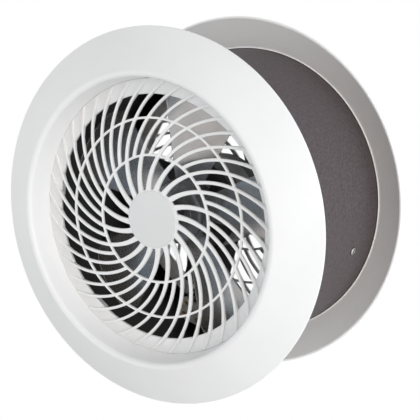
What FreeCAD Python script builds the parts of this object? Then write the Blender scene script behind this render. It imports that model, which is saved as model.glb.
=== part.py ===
# Through-wall axial exhaust fan, millimetres.
# Frame: fan axis along Y, room side faces -Y, +Z up, origin on the axis midway
# between the two wall faces.
import FreeCAD, Part
import Sketcher
import math
import os

V = FreeCAD.Vector
Rot = FreeCAD.Rotation
Pla = FreeCAD.Placement

doc = FreeCAD.newDocument("AxialFan")
sheet = doc.addObject("Spreadsheet::Sheet", "Dims")

CELLS = [
    # wall flange (s is measured outwards from the wall face)
    ("half_gap", 71.0), ("rim_radius", 170.0), ("rim_edge", 1.8), ("rim_land", 167.9),
    ("crest_radius", 128.0), ("crest_rise", 25.8), ("crest_round", 4.2),
    ("seat_radius", 124.2), ("seat_drop", 4.0), ("lip_radius", 115.0), ("lip_thick", 2.4),
    ("shell_apex_radius", 131.2), ("shell_apex_rise", 21.43), ("seat_back_radius", 126.7),
    ("collar_inner", 134.9), ("collar_outer", 137.4), ("collar_depth", 10.0),
    ("root_inner", 138.75), ("root_edge", 139.25), ("root_outer", 142.5), ("root_depth", 3.8), ("root_round", 2.2),
    # guard
    ("hub_disc_radius", 26.5), ("hub_disc_rise", 9.1), ("hub_disc_back", 4.2),
    ("dome_curve", 943.0), ("dome_hub_rise", 7.6), ("dome_rim_rise", -0.15),
    ("guard_radius", 124.1), ("guard_back", 3.8), ("opening_radius", 110.5),
    ("arm_depth", 2.4), ("arm_width", 3.0), ("arm_twist", 0.52), ("flat_ring_drop", 1.2),
    ("ring_one", 57.3), ("ring_one_half", 1.0), ("ring_two", 90.0), ("ring_two_half", 1.0),
    ("arm_curve_one", 62.0), ("arm_curve_two", 79.0), ("arm_curve_three", 96.0),
    ("arm_curve_four", 108.0), ("arm_count_hub", 20.0), ("arm_count_rim", 40.0),
    ("arm_phase", 20.0), ("guard_turn", -9.5), ("hook_count", 6.0), ("hook_angle", 6.0),
    # duct
    ("duct_radius", 138.4), ("duct_wall", 0.8), ("duct_end", 16.0),
    ("seam_lap", 0.7), ("seam_angle", 3.2), ("seam_place", 170.0),
    ("rivet_hole", 2.15), ("rivet_place", -17.7), ("rivet_back", 5.0),
    ("rivet_head", 4.0), ("rivet_bore", 1.3),
    ("grommet_hole", 7.0), ("grommet_place", 200.0), ("grommet_ahead", 18.0),
    # bracket (its plate's back face is the zero of the inner pieces)
    ("bracket_y", 43.0), ("plate_radius", 42.5), ("plate_thick", 2.0), ("plate_hole", 12.0),
    ("strap_half", 9.0), ("foot_out", 137.2), ("foot_back", 12.0), ("bend_in", 2.0),
    ("strap_count", 2.0), ("service_turn", 270.0), ("service_place", 252.3),
    ("wing_half", 24.0), ("wing_out", 97.0), ("wing_round", 5.0),
    # motor
    ("motor_radius", 43.0), ("shield_wall", 1.8), ("shield_face", 2.2),
    ("rear_open", 16.0), ("stack_front", 38.0), ("front_face", 54.0), ("nose_front", 58.0),
    ("boss_radius", 11.0), ("bush_radius", 8.0), ("bush_gap", 0.02),
    ("bore_radius", 23.4), ("rotor_radius", 23.0), ("shaft_radius", 4.0), ("bush_bore", 4.04),
    ("slot_inner", 26.0), ("slot_outer", 34.0), ("slot_half", 2.6), ("slot_count", 12.0),
    ("tie_circle", 37.6), ("tie_radius", 2.0), ("tie_hole", 2.2), ("tie_turn", 30.0),
    ("coil_inner", 26.4), ("coil_outer", 33.6), ("coil_rise", 8.0),
    ("lead_level", 8.6), ("lead_radius", 3.0),
    # fan
    ("fan_turn", 76.8), ("fan_mid", 69.5), ("fan_tip", 121.0), ("fan_root", 27.9),
    ("fan_hub", 29.0), ("fan_hub_wall", 2.4), ("fan_hub_back", 62.0), ("fan_hub_front", 88.5),
    ("blade_half_tip", 19.6), ("blade_half_root", 25.0), ("blade_corner", 14.0),
    ("blade_count", 5.0), ("blade_thick", 2.2),
    ("sec_one", 16.0), ("sec_one_half", 22.0), ("sec_one_rise", 9.0), ("sec_one_curve", 95.0),
    ("sec_two", 60.0), ("sec_two_half", 30.0), ("sec_two_rise", 8.0), ("sec_two_curve", 96.0),
    ("sec_three", 126.0), ("sec_three_half", 46.0), ("sec_three_rise", 9.0), ("sec_three_curve", 200.0),
]
for row, (key, val) in enumerate(CELLS, 1):
    sheet.set("A%d" % row, key)
    sheet.set("B%d" % row, repr(val))
    sheet.setAlias("B%d" % row, key)
doc.recompute()


class Q:
    """A size: its number now and the sheet formula behind it."""

    def __init__(self, num, txt):
        self.num = float(num)
        self.txt = txt

    @staticmethod
    def of(x):
        return x if isinstance(x, Q) else Q(x, "(%r)" % float(x))

    def __add__(self, o):
        o = Q.of(o)
        return Q(self.num + o.num, "(%s + %s)" % (self.txt, o.txt))

    def __sub__(self, o):
        o = Q.of(o)
        return Q(self.num - o.num, "(%s - %s)" % (self.txt, o.txt))

    def __mul__(self, o):
        o = Q.of(o)
        return Q(self.num * o.num, "(%s * %s)" % (self.txt, o.txt))

    def __truediv__(self, o):
        o = Q.of(o)
        return Q(self.num / o.num, "(%s / %s)" % (self.txt, o.txt))

    def __neg__(self):
        return Q(0, "(0.0)") - self

    def __radd__(self, o):
        return Q.of(o) + self

    def __rsub__(self, o):
        return Q.of(o) - self

    def __rmul__(self, o):
        return Q.of(o) * self

    def __rtruediv__(self, o):
        return Q.of(o) / self


def q(key):
    return Q(sheet.get(key), "Dims." + key)


def qsqrt(a):
    return Q(math.sqrt(a.num), "sqrt(%s)" % a.txt)


def qsin(a):
    return Q(math.sin(math.radians(a.num)), "sin(%s)" % a.txt)


def qcos(a):
    return Q(math.cos(math.radians(a.num)), "cos(%s)" % a.txt)


def num(x):
    return x.num if isinstance(x, Q) else float(x)


def bind(obj, prop, size):
    if isinstance(size, Q):
        obj.setExpression(prop, size.txt)


# ---------------------------------------------------------------- sketch help
def body(name):
    return doc.addObject("PartDesign::Body", name)


def sketch(bod, role, lift=0.0, spin=0.0, name="sketch"):
    """A sketch on one of the body's own origin planes, lifted along its normal;
    spin turns the plane about the sketch's own upward direction."""
    sk = bod.newObject("Sketcher::SketchObject", name)
    plane = [f for f in bod.Origin.OriginFeatures if f.Role == role][0]
    sk.AttachmentSupport = [(plane, "")]
    sk.MapMode = "FlatFace"
    sk.AttachmentOffset = Pla(V(0, 0, num(lift)), Rot(V(0, 1, 0), num(spin)))
    bind(sk, "AttachmentOffset.Base.z", lift)
    return sk


def pin_point(sk, geo, pos, x, y):
    """Fix one vertex by its two distances from the sketch origin."""
    if isinstance(x, Q) or abs(x) > 1e-9:
        k = sk.addConstraint(Sketcher.Constraint("DistanceX", -1, 1, geo, pos, num(x)))
        bind(sk, "Constraints[%d]" % k, x)
    else:
        sk.addConstraint(Sketcher.Constraint("PointOnObject", geo, pos, -2))
    if isinstance(y, Q) or abs(y) > 1e-9:
        k = sk.addConstraint(Sketcher.Constraint("DistanceY", -1, 1, geo, pos, num(y)))
        bind(sk, "Constraints[%d]" % k, y)
    else:
        sk.addConstraint(Sketcher.Constraint("PointOnObject", geo, pos, -1))


def arc_mid(a, b, rad, side):
    c = b - a
    ln = c.Length
    sag = rad - math.sqrt(max(rad * rad - ln * ln / 4.0, 0.0))
    left = V(-c.y, c.x, 0) * (1.0 / ln)
    return (a + b) * 0.5 + left * (sag * side)


def add_arc(sk, a, m, b):
    """Arc from a through m to b, stored anticlockwise; returns its number and which
    of its ends (1 or 2) is a."""
    ccw = (m - a).cross(b - m).z > 0
    g = sk.addGeometry(Part.Arc(a, m, b) if ccw else Part.Arc(b, m, a), False)
    return (g, 1, 2) if ccw else (g, 2, 1)


def outline(sk, pts):
    """Closed outline. Each item is (x, y) or (x, y, radius, side): the edge that
    leaves that vertex is then an arc that bulges to the left (+1) or right (-1)."""
    n = len(pts)
    ends = []
    for i in range(n):
        a = V(num(pts[i][0]), num(pts[i][1]), 0)
        j = (i + 1) % n
        b = V(num(pts[j][0]), num(pts[j][1]), 0)
        if len(pts[i]) > 2:
            ends.append(add_arc(sk, a, arc_mid(a, b, num(pts[i][2]), pts[i][3]), b))
        else:
            g = sk.addGeometry(Part.LineSegment(a, b), False)
            ends.append((g, 1, 2))
    for i in range(n):
        j = (i + 1) % n
        sk.addConstraint(Sketcher.Constraint("Coincident", ends[i][0], ends[i][2], ends[j][0], ends[j][1]))
    for i in range(n):
        pin_point(sk, ends[i][0], ends[i][1], pts[i][0], pts[i][1])
        if len(pts[i]) > 2:
            k = sk.addConstraint(Sketcher.Constraint("Radius", ends[i][0], num(pts[i][2])))
            bind(sk, "Constraints[%d]" % k, pts[i][2])


def ring_hole(sk, x, y, rad):
    g = sk.addGeometry(Part.Circle(V(num(x), num(y), 0), V(0, 0, 1), num(rad)), False)
    pin_point(sk, g, 3, x, y)
    k = sk.addConstraint(Sketcher.Constraint("Radius", g, num(rad)))
    bind(sk, "Constraints[%d]" % k, rad)


def revolve(bod, sk, angle=360.0):
    f = bod.newObject("PartDesign::Revolution", "turned")
    f.Profile = sk
    f.ReferenceAxis = (sk, ["V_Axis"])
    f.Angle = num(angle)
    bind(f, "Angle", angle)
    return f


def turned(name, pts):
    """A body turned about its own Z from (radius, height) points."""
    b = body(name)
    sk = sketch(b, "XZ_Plane")
    outline(sk, pts)
    revolve(b, sk)
    return b


def pad(bod, sk, length, both=False, back=False):
    f = bod.newObject("PartDesign::Pad", "pad")
    f.Profile = sk
    f.Length = num(length)
    bind(f, "Length", length)
    if both:
        f.Midplane = True
    if back:
        f.Reversed = True
    return f


def pocket(bod, sk, length=None, up=False):
    f = bod.newObject("PartDesign::Pocket", "pocket")
    f.Profile = sk
    if length is None:
        f.Type = "ThroughAll"
    else:
        f.Length = num(length)
        bind(f, "Length", length)
    if up:
        f.Reversed = True
    return f


def around(bod, feats, count, sweep=360.0):
    axis = [f for f in bod.Origin.OriginFeatures if f.Role == "Z_Axis"][0]
    f = bod.newObject("PartDesign::PolarPattern", "around")
    f.Originals = feats
    f.Axis = (axis, [""])
    f.Angle = num(sweep)
    bind(f, "Angle", sweep)
    f.Occurrences = int(num(count))
    bind(f, "Occurrences", count)
    bod.Tip = f
    return f


def soften(bod, feat, spots, rad):
    """Round the circular edges that run through the given (radius, height) spots."""
    names = []
    for i, e in enumerate(feat.Shape.Edges, 1):
        if e.Curve.TypeId != "Part::GeomCircle":
            continue
        for r, z in spots:
            if abs(e.Curve.Radius - num(r)) < 0.02 and abs(e.Curve.Center.z - num(z)) < 0.02:
                names.append("Edge%d" % i)
    f = bod.newObject("PartDesign::Fillet", "round")
    f.Base = (feat, names)
    f.Radius = num(rad)
    bind(f, "Radius", rad)
    return f


FACE = Rot(V(1, 0, 0), 90)   # local X right, local Y up, local Z towards the room


def seat(obj, y, turn=0.0):
    """Stand a piece on the fan axis, its local Z towards the room."""
    obj.Placement = Pla(V(0, num(y), 0), FACE.multiply(Rot(V(0, 0, 1), num(turn))))
    bind(obj, "Placement.Base.y", y)


def copies(name, master, places):
    """Separate copies of one piece held as one group."""
    links = []
    for i, p in enumerate(places):
        c = doc.addObject("Part::Compound", "%s_%d" % (name, i + 1))
        c.Links = [master]
        c.Placement = p
        links.append(c)
    g = doc.addObject("Part::Compound", name)
    g.Links = links
    return g


NODES = []


def node(obj, label):
    obj.Label = label
    NODES.append(obj)
    return obj


# ------------------------------------------------------------------- flanges
off = q("collar_depth")                     # local zero at the collar's end
slope = (q("crest_rise") - q("rim_edge")) / (q("rim_radius") - q("crest_radius"))


def shell(r):                               # inside of the cone at radius r
    return q("shell_apex_rise") - (r - q("shell_apex_radius")) * slope + off


fl = body("flange_body")
sk = sketch(fl, "XZ_Plane")
outline(sk, [
    (q("rim_radius"), off),
    (q("rim_radius"), off + q("rim_edge")),
    (q("crest_radius"), off + q("crest_rise")),
    (q("seat_radius"), off - q("seat_drop")),
    (q("lip_radius"), off - q("seat_drop")),
    (q("lip_radius"), off - q("seat_drop") - q("lip_thick")),
    (q("seat_back_radius"), off - q("seat_drop") - q("lip_thick")),
    (q("shell_apex_radius"), off + q("shell_apex_rise")),
    (q("collar_inner"), shell(q("collar_inner"))),
    (q("collar_inner"), Q(0.0, "(Dims.collar_depth - Dims.collar_depth)") + 0.001),
    (q("collar_outer"), Q(0.0, "(Dims.collar_depth - Dims.collar_depth)") + 0.001),
    (q("collar_outer"), shell(q("collar_outer"))),
    (q("root_inner"), shell(q("root_inner"))),
    (q("root_inner"), shell(q("root_edge")) - q("root_depth")),
    (q("root_edge"), shell(q("root_edge")) - q("root_depth"), q("root_round"), 1),
    (q("root_outer"), shell(q("root_outer"))),
    (q("rim_land"), shell(q("rim_land"))),
    (q("rim_land"), off),
])
rv = revolve(fl, sk)
doc.recompute()
soften(fl, rv, [(q("crest_radius"), off + q("crest_rise"))], q("crest_round"))
seat(fl, q("collar_depth") - q("half_gap"))
node(fl, "front_flange")
doc.recompute()

rear_fl = doc.addObject("Part::Compound", "rear_flange_copy")
rear_fl.Links = [fl]
rear_fl.Placement = Pla(V(0, 0, 0), Rot(V(0, 0, 1), 180))
node(rear_fl, "rear_flange")

# -------------------------------------------------------------------- guards
gz = Q(12.0, "(12.0)")                      # local zero 12 behind the wall face
gr = body("guard_body")
sk = sketch(gr, "XZ_Plane")
dome = q("dome_curve")
outline(sk, [
    (0.0, gz + q("hub_disc_rise")),
    (q("hub_disc_radius") - 1.0, gz + q("hub_disc_rise") - 0.3),
    (q("hub_disc_radius"), gz + q("dome_hub_rise"), dome, 1),
    (q("guard_radius"), gz + q("dome_rim_rise")),
    (q("guard_radius"), gz - q("guard_back")),
    (q("opening_radius"), gz - q("guard_back")),
    (q("opening_radius"), gz + 1.53 - q("arm_depth"), dome, -1),
    (q("hub_disc_radius") - 2.0, gz + q("hub_disc_back")),
    (0.0, gz + q("hub_disc_back")),
])
plate = revolve(gr, sk)
doc.recompute()

TW = q("arm_twist")


def arm_edge(phase, r, side):
    """Angle of one edge of an arm at radius r."""
    lean = r * (TW / 57.29578)
    half = q("arm_width") / 2.0 * qsqrt(1.0 + lean * lean) / r * 57.29578
    return q("arm_phase") + phase - TW * (r - q("ring_one")) + side * half


def window(sk, r_in, r_out, phase, step, curve):
    """One opening between two neighbouring arms and two circles."""
    corners = []
    for r, base, side in ((r_in, phase, 1.0), (r_out, phase, 1.0),
                          (r_out, phase + step, -1.0), (r_in, phase + step, -1.0)):
        a = arm_edge(base, r, side)
        corners.append((r * qcos(a), r * qsin(a)))
    pt = [V(num(x), num(y), 0) for x, y in corners]
    mids = []
    for base, side in ((phase, 1.0), (phase + step, -1.0)):
        rm = (r_in + r_out) / 2.0
        a = arm_edge(base, rm, side)
        mids.append(V(num(rm * qcos(a)), num(rm * qsin(a)), 0))
    geo = []
    for a, m, b in ((pt[0], mids[0], pt[1]), (pt[2], mids[1], pt[3])):
        geo.append(add_arc(sk, a, m, b))
    for a, b, r in ((pt[1], pt[2], r_out), (pt[3], pt[0], r_in)):
        m = (a + b) * 0.5
        geo.append(add_arc(sk, a, m * (num(r) / m.Length), b))
        g = geo[-1][0]
        sk.addConstraint(Sketcher.Constraint("Coincident", g, 3, -1, 1))
        k = sk.addConstraint(Sketcher.Constraint("Radius", g, num(r)))
        bind(sk, "Constraints[%d]" % k, r)
    order = [geo[0], geo[2], geo[1], geo[3]]
    for i in range(4):
        j = (i + 1) % 4
        sk.addConstraint(Sketcher.Constraint("Coincident", order[i][0], order[i][2], order[j][0], order[j][1]))
    for i, (x, y) in enumerate(corners):
        k = sk.addConstraint(Sketcher.Constraint("DistanceY", -1, 1, order[i][0], order[i][1], num(y)))
        bind(sk, "Constraints[%d]" % k, y)
    for g in (geo[0], geo[1]):
        k = sk.addConstraint(Sketcher.Constraint("Radius", g[0], num(curve)))
        bind(sk, "Constraints[%d]" % k, curve)


top = gz + 20.0
step_hub = 360.0 / q("arm_count_hub")
step_rim = 360.0 / q("arm_count_rim")
ZONES = [
    (q("hub_disc_radius"), q("ring_one") - q("ring_one_half"), 0.0, step_hub, "arm_curve_one", "arm_count_hub", None),
    (q("ring_one") + q("ring_one_half"), q("ring_two") - q("ring_two_half"), 18.0, step_rim, "arm_curve_two",
     "arm_count_rim", None),
    (q("ring_two") + q("ring_two_half"), q("opening_radius"), 36.0, step_rim, "arm_curve_three",
     "arm_count_rim", None),
    (q("opening_radius") - 3.0, q("guard_radius") + 2.0, 45.0, step_rim, "arm_curve_four",
     "arm_count_rim", 20.0 + q("flat_ring_drop")),
]
for r_in, r_out, phase, step, curve, count, deep in ZONES:
    sk = sketch(gr, "XY_Plane", lift=top)
    window(sk, r_in, r_out, Q.of(phase), step, q(curve))
    pk = pocket(gr, sk, deep)
    doc.recompute()
    around(gr, [pk], q(count))
    doc.recompute()

# moulded hooks that snap behind the flange lip
sk = sketch(gr, "XZ_Plane")
outline(sk, [
    (q("opening_radius") + 1.8, gz - q("guard_back") + 0.6),
    (q("lip_radius") - 0.4, gz - q("guard_back") + 0.6),
    (q("lip_radius") - 0.4, gz - q("seat_drop") - q("lip_thick") - 0.2),
    (q("lip_radius") + 1.0, gz - q("seat_drop") - q("lip_thick") - 0.2),
    (q("lip_radius") - 0.4, gz - 9.2),
    (q("opening_radius") + 1.8, gz - 9.2),
])
hook = revolve(gr, sk, q("hook_angle"))
doc.recompute()
around(gr, [hook], q("hook_count"))
doc.recompute()
seat(gr, gz - q("half_gap"), q("guard_turn"))
node(gr, "front_grille")
doc.recompute()

rear_gr = doc.addObject("Part::Compound", "rear_guard_copy")
rear_gr.Links = [gr]
rear_gr.Placement = Pla(V(0, 0, 0), Rot(V(0, 0, 1), 180))
node(rear_gr, "rear_grille")

# ---------------------------------------------------------------------- duct
# local zero at the outer (rear) end, so heights run towards the room
d_in = q("duct_radius") - q("duct_wall")
d_len = 2.0 * (q("half_gap") + q("duct_end"))
d_zero = q("half_gap") + q("duct_end")       # y of the local zero
du = body("duct_body")
sk = sketch(du, "XZ_Plane")
outline(sk, [(d_in, 0.0), (q("duct_radius"), 0.0), (q("duct_radius"), d_len), (d_in, d_len)])
revolve(du, sk)
doc.recompute()
sk = sketch(du, "XZ_Plane", spin=q("seam_place"))
outline(sk, [(q("duct_radius") - 0.3, Q.of(4.0)), (q("duct_radius") + q("seam_lap"), Q.of(4.0)),
             (q("duct_radius") + q("seam_lap"), d_len - 4.0), (q("duct_radius") - 0.3, d_len - 4.0)])
revolve(du, sk, q("seam_angle"))
doc.recompute()
riv_h = d_zero - q("bracket_y") - q("rivet_back")
sk = sketch(du, "YZ_Plane", spin=q("rivet_place"))
ring_hole(sk, 0.0, riv_h, q("rivet_hole"))
pk = pocket(du, sk, None, up=True)
doc.recompute()
around(du, [pk], q("strap_count"))
doc.recompute()
around(du, [pk], Q.of(2.0), q("service_turn"))
sk = sketch(du, "YZ_Plane", spin=q("grommet_place"))
ring_hole(sk, 0.0, d_zero - q("bracket_y") + q("grommet_ahead"), q("grommet_hole"))
pocket(du, sk, None, up=True)
seat(du, d_zero)
node(du, "duct_tube")
doc.recompute()

# ------------------------------------------------------------------- bracket
BY = q("bracket_y")
bk = q("foot_back") + 2.0                    # local zero behind the feet
PT = q("plate_thick")
br = body("bracket_body")
sk = sketch(br, "XY_Plane", lift=bk)
ring_hole(sk, 0.0, 0.0, q("plate_radius"))
ring_hole(sk, 0.0, 0.0, q("plate_hole"))
pad(br, sk, PT)
doc.recompute()
sk = sketch(br, "XZ_Plane")
bend = q("bend_in")
outline(sk, [
    (q("plate_radius") - 6.0, bk),
    (q("foot_out") - PT - bend, bk, bend, 1),
    (q("foot_out") - PT, bk - bend),
    (q("foot_out") - PT, bk - q("foot_back")),
    (q("foot_out"), bk - q("foot_back")),
    (q("foot_out"), bk - bend, bend + PT, -1),
    (q("foot_out") - PT - bend, bk + PT),
    (q("plate_radius") - 6.0, bk + PT),
])
strap = pad(br, sk, 2.0 * q("strap_half"), both=True)
doc.recompute()
sk = sketch(br, "YZ_Plane", lift=Q.of(100.0))
ring_hole(sk, 0.0, bk - q("rivet_back"), q("rivet_hole"))
foot_hole = pocket(br, sk, None, up=True)
doc.recompute()
around(br, [strap, foot_hole], q("strap_count"))
doc.recompute()
around(br, [strap, foot_hole], Q.of(2.0), q("service_turn"))
doc.recompute()
# the strap that carries the electrics has a wide wing next to the plate
wing, wing_end, wing_soft = q("wing_half"), q("wing_out"), q("wing_round")
sk = sketch(br, "XY_Plane", lift=bk)
outline(sk, [
    (0.0 - wing, Q.of(-34.0)),
    (0.0 - wing, wing_soft - wing_end, wing_soft, -1),
    (wing_soft - wing, 0.0 - wing_end),
    (wing - wing_soft, 0.0 - wing_end, wing_soft, -1),
    (wing, wing_soft - wing_end),
    (wing, Q.of(-34.0)),
])
pad(br, sk, PT)
doc.recompute()
sk = sketch(br, "XY_Plane", lift=bk + 10.0)
ring_hole(sk, q("tie_circle") * qcos(q("tie_turn")), q("tie_circle") * qsin(q("tie_turn")), q("tie_hole"))
pk = pocket(br, sk)
doc.recompute()
around(br, [pk], Q.of(4.0))
doc.recompute()
# service holes in that strap: clip peg, capacitor screw, block screw
ux, uy = math.cos(math.radians(num(q("service_turn")))), math.sin(math.radians(num(q("service_turn"))))
sk = sketch(br, "XY_Plane", lift=bk + 10.0)
for dist, rad in ((58.0, 1.7), (103.0, 2.2), (119.5, 1.7)):
    ring_hole(sk, Q.of(dist * ux), Q.of(dist * uy), Q.of(rad))
pocket(br, sk)
seat(br, BY + bk, q("rivet_place"))
node(br, "motor_bracket")
doc.recompute()

# rivet: hollow head outside the tube, tail inside the foot
gap = 0.05
head = q("duct_radius") - q("foot_out")      # underside of the head, from the foot's outside
rv_m = turned("rivet_master", [
    (0.0, head - 0.5),
    (q("rivet_bore"), head - 0.5),
    (q("rivet_bore"), head + 1.2),
    (q("rivet_bore") + 0.4, head + 1.4),
    (q("rivet_head") - 0.9, head + 1.0),
    (q("rivet_head"), head + 0.35),
    (q("rivet_head"), head + gap),
    (q("rivet_hole") - gap, head + gap),
    (q("rivet_hole") - gap, -PT - gap),
    (Q.of(3.1), -PT - gap),
    (Q.of(3.1), -PT - 0.9),
    (Q.of(2.4), -PT - 1.5),
    (0.0, -PT - 1.5),
])
doc.recompute()
places = []
for turn in (0.0, 180.0, num(q("service_turn"))):
    a = math.radians(num(q("rivet_place")) + turn)
    d = V(math.cos(a), 0, math.sin(a))
    p = d * num(q("foot_out"))
    p.y = num(BY) + num(q("rivet_back"))
    places.append(Pla(p, Rot(V(0, 0, 1), d)))
node(copies("bracket_rivets_set", rv_m, places), "bracket_rivets")

# --------------------------------------------------------------------- motor
MR = q("motor_radius")
SW = q("shield_wall")
SF = q("shield_face")
BR = q("bush_radius") + q("bush_gap")
ro = q("rear_open")
sf = q("stack_front")
ff = q("front_face")
nf = q("nose_front")


def tie_holes(b, lift):
    s = sketch(b, "XY_Plane", lift=lift)
    ring_hole(s, q("tie_circle") * qcos(q("tie_turn")), q("tie_circle") * qsin(q("tie_turn")), q("tie_hole"))
    f = pocket(b, s)
    doc.recompute()
    around(b, [f], Q.of(4.0))
    doc.recompute()


def vents(b, lift, deep):
    s = sketch(b, "XY_Plane", lift=lift)
    outline(s, [(Q.of(16.0), Q.of(-2.6)), (Q.of(29.0), Q.of(-2.6), Q.of(2.8), -1),
                (Q.of(29.0), Q.of(2.6)), (Q.of(16.0), Q.of(2.6), Q.of(2.8), -1)])
    f = pocket(b, s, deep)
    doc.recompute()
    around(b, [f], Q.of(10.0))
    doc.recompute()


rs = turned("rear_shield_body", [
    (0.0, PT), (MR - 2.0, PT), (MR, PT + 2.0), (MR, ro), (MR - SW, ro), (MR - SW, PT + SF + 1.0),
    (MR - SW - 1.0, PT + SF), (q("boss_radius"), PT + SF), (q("boss_radius"), ro - 2.5), (BR, ro - 2.5),
    (BR, PT + SF), (0.0, PT + SF),
])
doc.recompute()
tie_holes(rs, nf)
sk = sketch(rs, "YZ_Plane", spin=q("service_place") - q("rivet_place"), lift=0.0)
ring_hole(sk, 0.0, q("lead_level"), q("lead_radius") + 0.2)
pocket(rs, sk, None, up=True)
seat(rs, BY)
node(rs, "motor_rear_shield")
doc.recompute()

fs = turned("front_shield_body", [
    (Q.of(5.0), nf), (q("boss_radius") - 1.5, nf), (q("boss_radius"), nf - 1.5), (q("boss_radius"), ff),
    (MR - 3.0, ff), (MR, ff - 3.0), (MR, sf), (MR - SW, sf), (MR - SW, ff - SF - 2.0), (MR - SW - 2.0, ff - SF),
    (q("boss_radius"), ff - SF), (q("boss_radius"), sf + 8.5), (BR, sf + 8.5), (BR, nf - 1.2), (Q.of(5.0), nf - 1.2),
])
doc.recompute()
tie_holes(fs, nf + 5.0)
vents(fs, nf + 5.0, nf + 5.0 - ff + SF + 1.0)
seat(fs, BY)
node(fs, "motor_front_shield")
doc.recompute()

st = turned("stator_body", [(q("bore_radius"), ro), (MR, ro), (MR, sf), (q("bore_radius"), sf)])
doc.recompute()
sk = sketch(st, "XY_Plane", lift=nf)
outline(sk, [(q("slot_inner"), -q("slot_half") + 0.6), (q("slot_outer"), -q("slot_half") - 0.6),
             (q("slot_outer"), q("slot_half") + 0.6), (q("slot_inner"), q("slot_half") - 0.6)])
pk = pocket(st, sk)
doc.recompute()
around(st, [pk], q("slot_count"))
doc.recompute()
sk = sketch(st, "XY_Plane", lift=nf)
outline(sk, [(q("bore_radius") - 1.0, Q.of(-0.9)), (q("slot_inner") + 1.0, Q.of(-0.9)),
             (q("slot_inner") + 1.0, Q.of(0.9)), (q("bore_radius") - 1.0, Q.of(0.9))])
pk = pocket(st, sk)
doc.recompute()
around(st, [pk], q("slot_count"))
doc.recompute()
tie_holes(st, nf)
seat(st, BY)
node(st, "stator_core")
doc.recompute()

wd = turned("winding_body", [
    (q("coil_inner"), ro - q("coil_rise") + 1.5), (q("coil_inner") + 1.5, ro - q("coil_rise")),
    (q("coil_outer") - 1.5, ro - q("coil_rise")), (q("coil_outer"), ro - q("coil_rise") + 1.5),
    (q("coil_outer"), ro - 0.1), (q("coil_inner"), ro - 0.1),
])
sk = sketch(wd, "XZ_Plane")
outline(sk, [
    (q("coil_inner"), sf + 0.1), (q("coil_outer"), sf + 0.1), (q("coil_outer"), sf + q("coil_rise") - 1.5),
    (q("coil_outer") - 1.5, sf + q("coil_rise")), (q("coil_inner") + 1.5, sf + q("coil_rise")),
    (q("coil_inner"), sf + q("coil_rise") - 1.5),
])
sk_front = sk
sk = sketch(wd, "XY_Plane", lift=ro - 1.0)
outline(sk, [(q("coil_inner") + 0.1, -q("slot_half") + 0.85), (q("coil_outer") - 0.1, -q("slot_half") - 0.3),
             (q("coil_outer") - 0.1, q("slot_half") + 0.3), (q("coil_inner") + 0.1, q("slot_half") - 0.85)])
pd = pad(wd, sk, sf - ro + 2.0)
doc.recompute()
around(wd, [pd], q("slot_count"))
doc.recompute()
revolve(wd, sk_front)
seat(wd, BY)
node(wd, "stator_winding")
doc.recompute()

rc = turned("rotor_body", [(q("shaft_radius") + 0.02, ro), (q("rotor_radius"), ro), (q("rotor_radius"), sf),
                           (q("shaft_radius") + 0.02, sf)])
seat(rc, BY)
node(rc, "rotor_core")
er = turned("end_ring_body", [(Q.of(14.5), Q.of(0.02)), (Q.of(22.4), Q.of(0.02)), (Q.of(21.8), Q.of(2.6)),
                              (Q.of(15.1), Q.of(2.6))])
node(copies("end_rings", er, [
    Pla(V(0, num(BY) - num(sf), 0), FACE),
    Pla(V(0, num(BY) - num(ro), 0), Rot(V(1, 0, 0), -90)),
]), "rotor_end_rings")

shaft_front = q("fan_hub_front") + 6.5
sh = turned("shaft_body", [
    (0.0, PT + SF + 0.6), (q("shaft_radius") - 0.5, PT + SF + 0.6), (q("shaft_radius"), PT + SF + 1.1),
    (q("shaft_radius"), shaft_front - 0.8), (q("shaft_radius") - 0.8, shaft_front), (0.0, shaft_front),
])
doc.recompute()
sk = sketch(sh, "XZ_Plane", lift=Q.of(-20.0))
ring_hole(sk, 0.0, q("fan_hub_back") + 2.6, Q.of(1.25))
pocket(sh, sk, Q.of(40.0), up=True)
seat(sh, BY, q("fan_turn"))
node(sh, "motor_shaft")
doc.recompute()


def bush(name, z0, z1):
    b = turned(name, [(q("bush_bore"), z0), (q("bush_radius") - 0.5, z0), (q("bush_radius"), z0 + 0.5),
                      (q("bush_radius"), z1 - 0.5), (q("bush_radius") - 0.5, z1), (q("bush_bore"), z1)])
    seat(b, BY)
    return b


node(bush("rear_bush", PT + SF + 0.1, ro - 2.5), "rear_bearing")
node(bush("front_bush", sf + 8.5, nf - 1.3), "front_bearing")

tw = turned("washer_master", [(q("shaft_radius") + 0.05, 0.0), (Q.of(7.2), 0.0), (Q.of(7.2), Q.of(0.8)),
                              (q("shaft_radius") + 0.05, Q.of(0.8))])
node(copies("washers", tw, [
    Pla(V(0, num(BY) - num(nf) - 0.6, 0), FACE),
    Pla(V(0, num(BY) - num(sf) - 7.6, 0), FACE),
]), "thrust_washers")

# tie screws: slotted pan heads in front of the front shield, nuts behind the bracket
ts = turned("tie_master", [
    (0.0, Q.of(-5.0)), (q("tie_radius") - 0.4, Q.of(-5.0)), (q("tie_radius"), Q.of(-4.6)), (q("tie_radius"), ff + gap),
    (Q.of(3.7), ff + gap), (Q.of(3.7), ff + 1.6), (Q.of(2.6), ff + 2.6), (0.0, ff + 2.6),
])
doc.recompute()
sk = sketch(ts, "XY_Plane", lift=ff + 6.0)
outline(sk, [(Q.of(-5.0), Q.of(-0.5)), (Q.of(5.0), Q.of(-0.5)), (Q.of(5.0), Q.of(0.5)), (Q.of(-5.0), Q.of(0.5))])
pocket(ts, sk, Q.of(4.6))
doc.recompute()


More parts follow.
